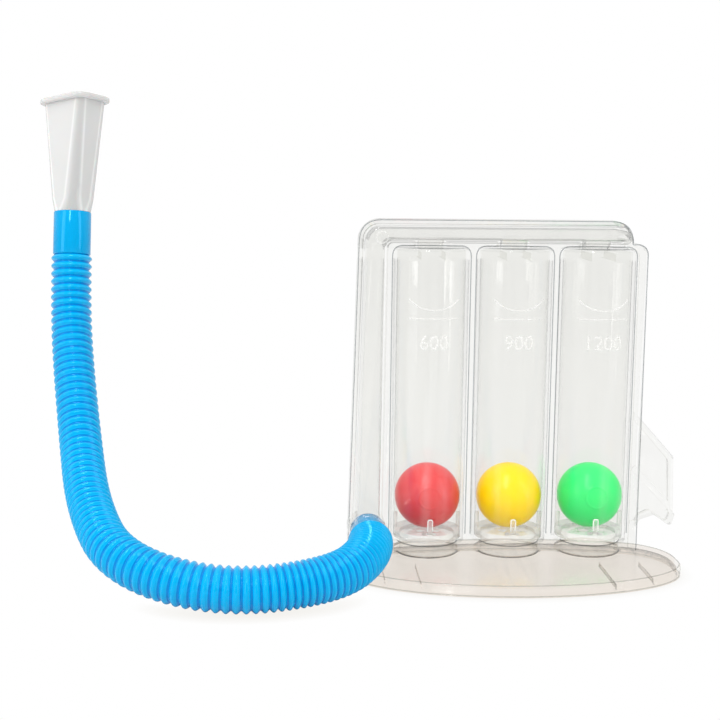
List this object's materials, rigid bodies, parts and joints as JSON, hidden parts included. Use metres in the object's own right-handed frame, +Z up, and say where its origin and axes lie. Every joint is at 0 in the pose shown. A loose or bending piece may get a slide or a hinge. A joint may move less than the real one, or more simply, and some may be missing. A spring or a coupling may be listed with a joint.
{
  "type": "incentive spirometer",
  "caption": "Three-ball incentive spirometer: clear body with upright ball chambers on an oval foot, corrugated hose and mouthpiece.",
  "frame": {"origin": "centre of the standing body's footprint, on the table, measured without the hose", "axes": "+Z up along the chambers, -Y towards the user who faces the chambers, +X towards the hook plate"},
  "size_m": [0.258, 0.159, 0.1825],
  "materials": {
    "clear_plastic": "clear, glossy moulded polystyrene",
    "red_ball": "smooth, half gloss",
    "yellow_ball": "smooth, half gloss",
    "green_ball": "smooth, half gloss",
    "blue_hose": "glossy, slightly translucent polyethylene",
    "milky_plastic": "milky translucent polypropylene"
  },
  "bodies": {
    "housing": {"front_shell": "clear_plastic", "rear_shell": "clear_plastic", "foot": "clear_plastic", "inlet_600": "clear_plastic", "inlet_900": "clear_plastic", "inlet_1200": "clear_plastic", "hose": "blue_hose", "hose_end_lower": "blue_hose", "hose_end_upper": "blue_hose", "mouthpiece": "milky_plastic"},
    "ball_600": {"ball_600": "red_ball"},
    "ball_900": {"ball_900": "yellow_ball"},
    "ball_1200": {"ball_1200": "green_ball"}
  },
  "joints": [
    {"name": "ball_600_rise", "type": "slide", "parent": "housing", "child": "ball_600", "axis": [0, 0, 1], "range_m": [0, 0.08]},
    {"name": "ball_900_rise", "type": "slide", "parent": "housing", "child": "ball_900", "axis": [0, 0, 1], "range_m": [0, 0.08]},
    {"name": "ball_1200_rise", "type": "slide", "parent": "housing", "child": "ball_1200", "axis": [0, 0, 1], "range_m": [0, 0.08]}
  ]
}
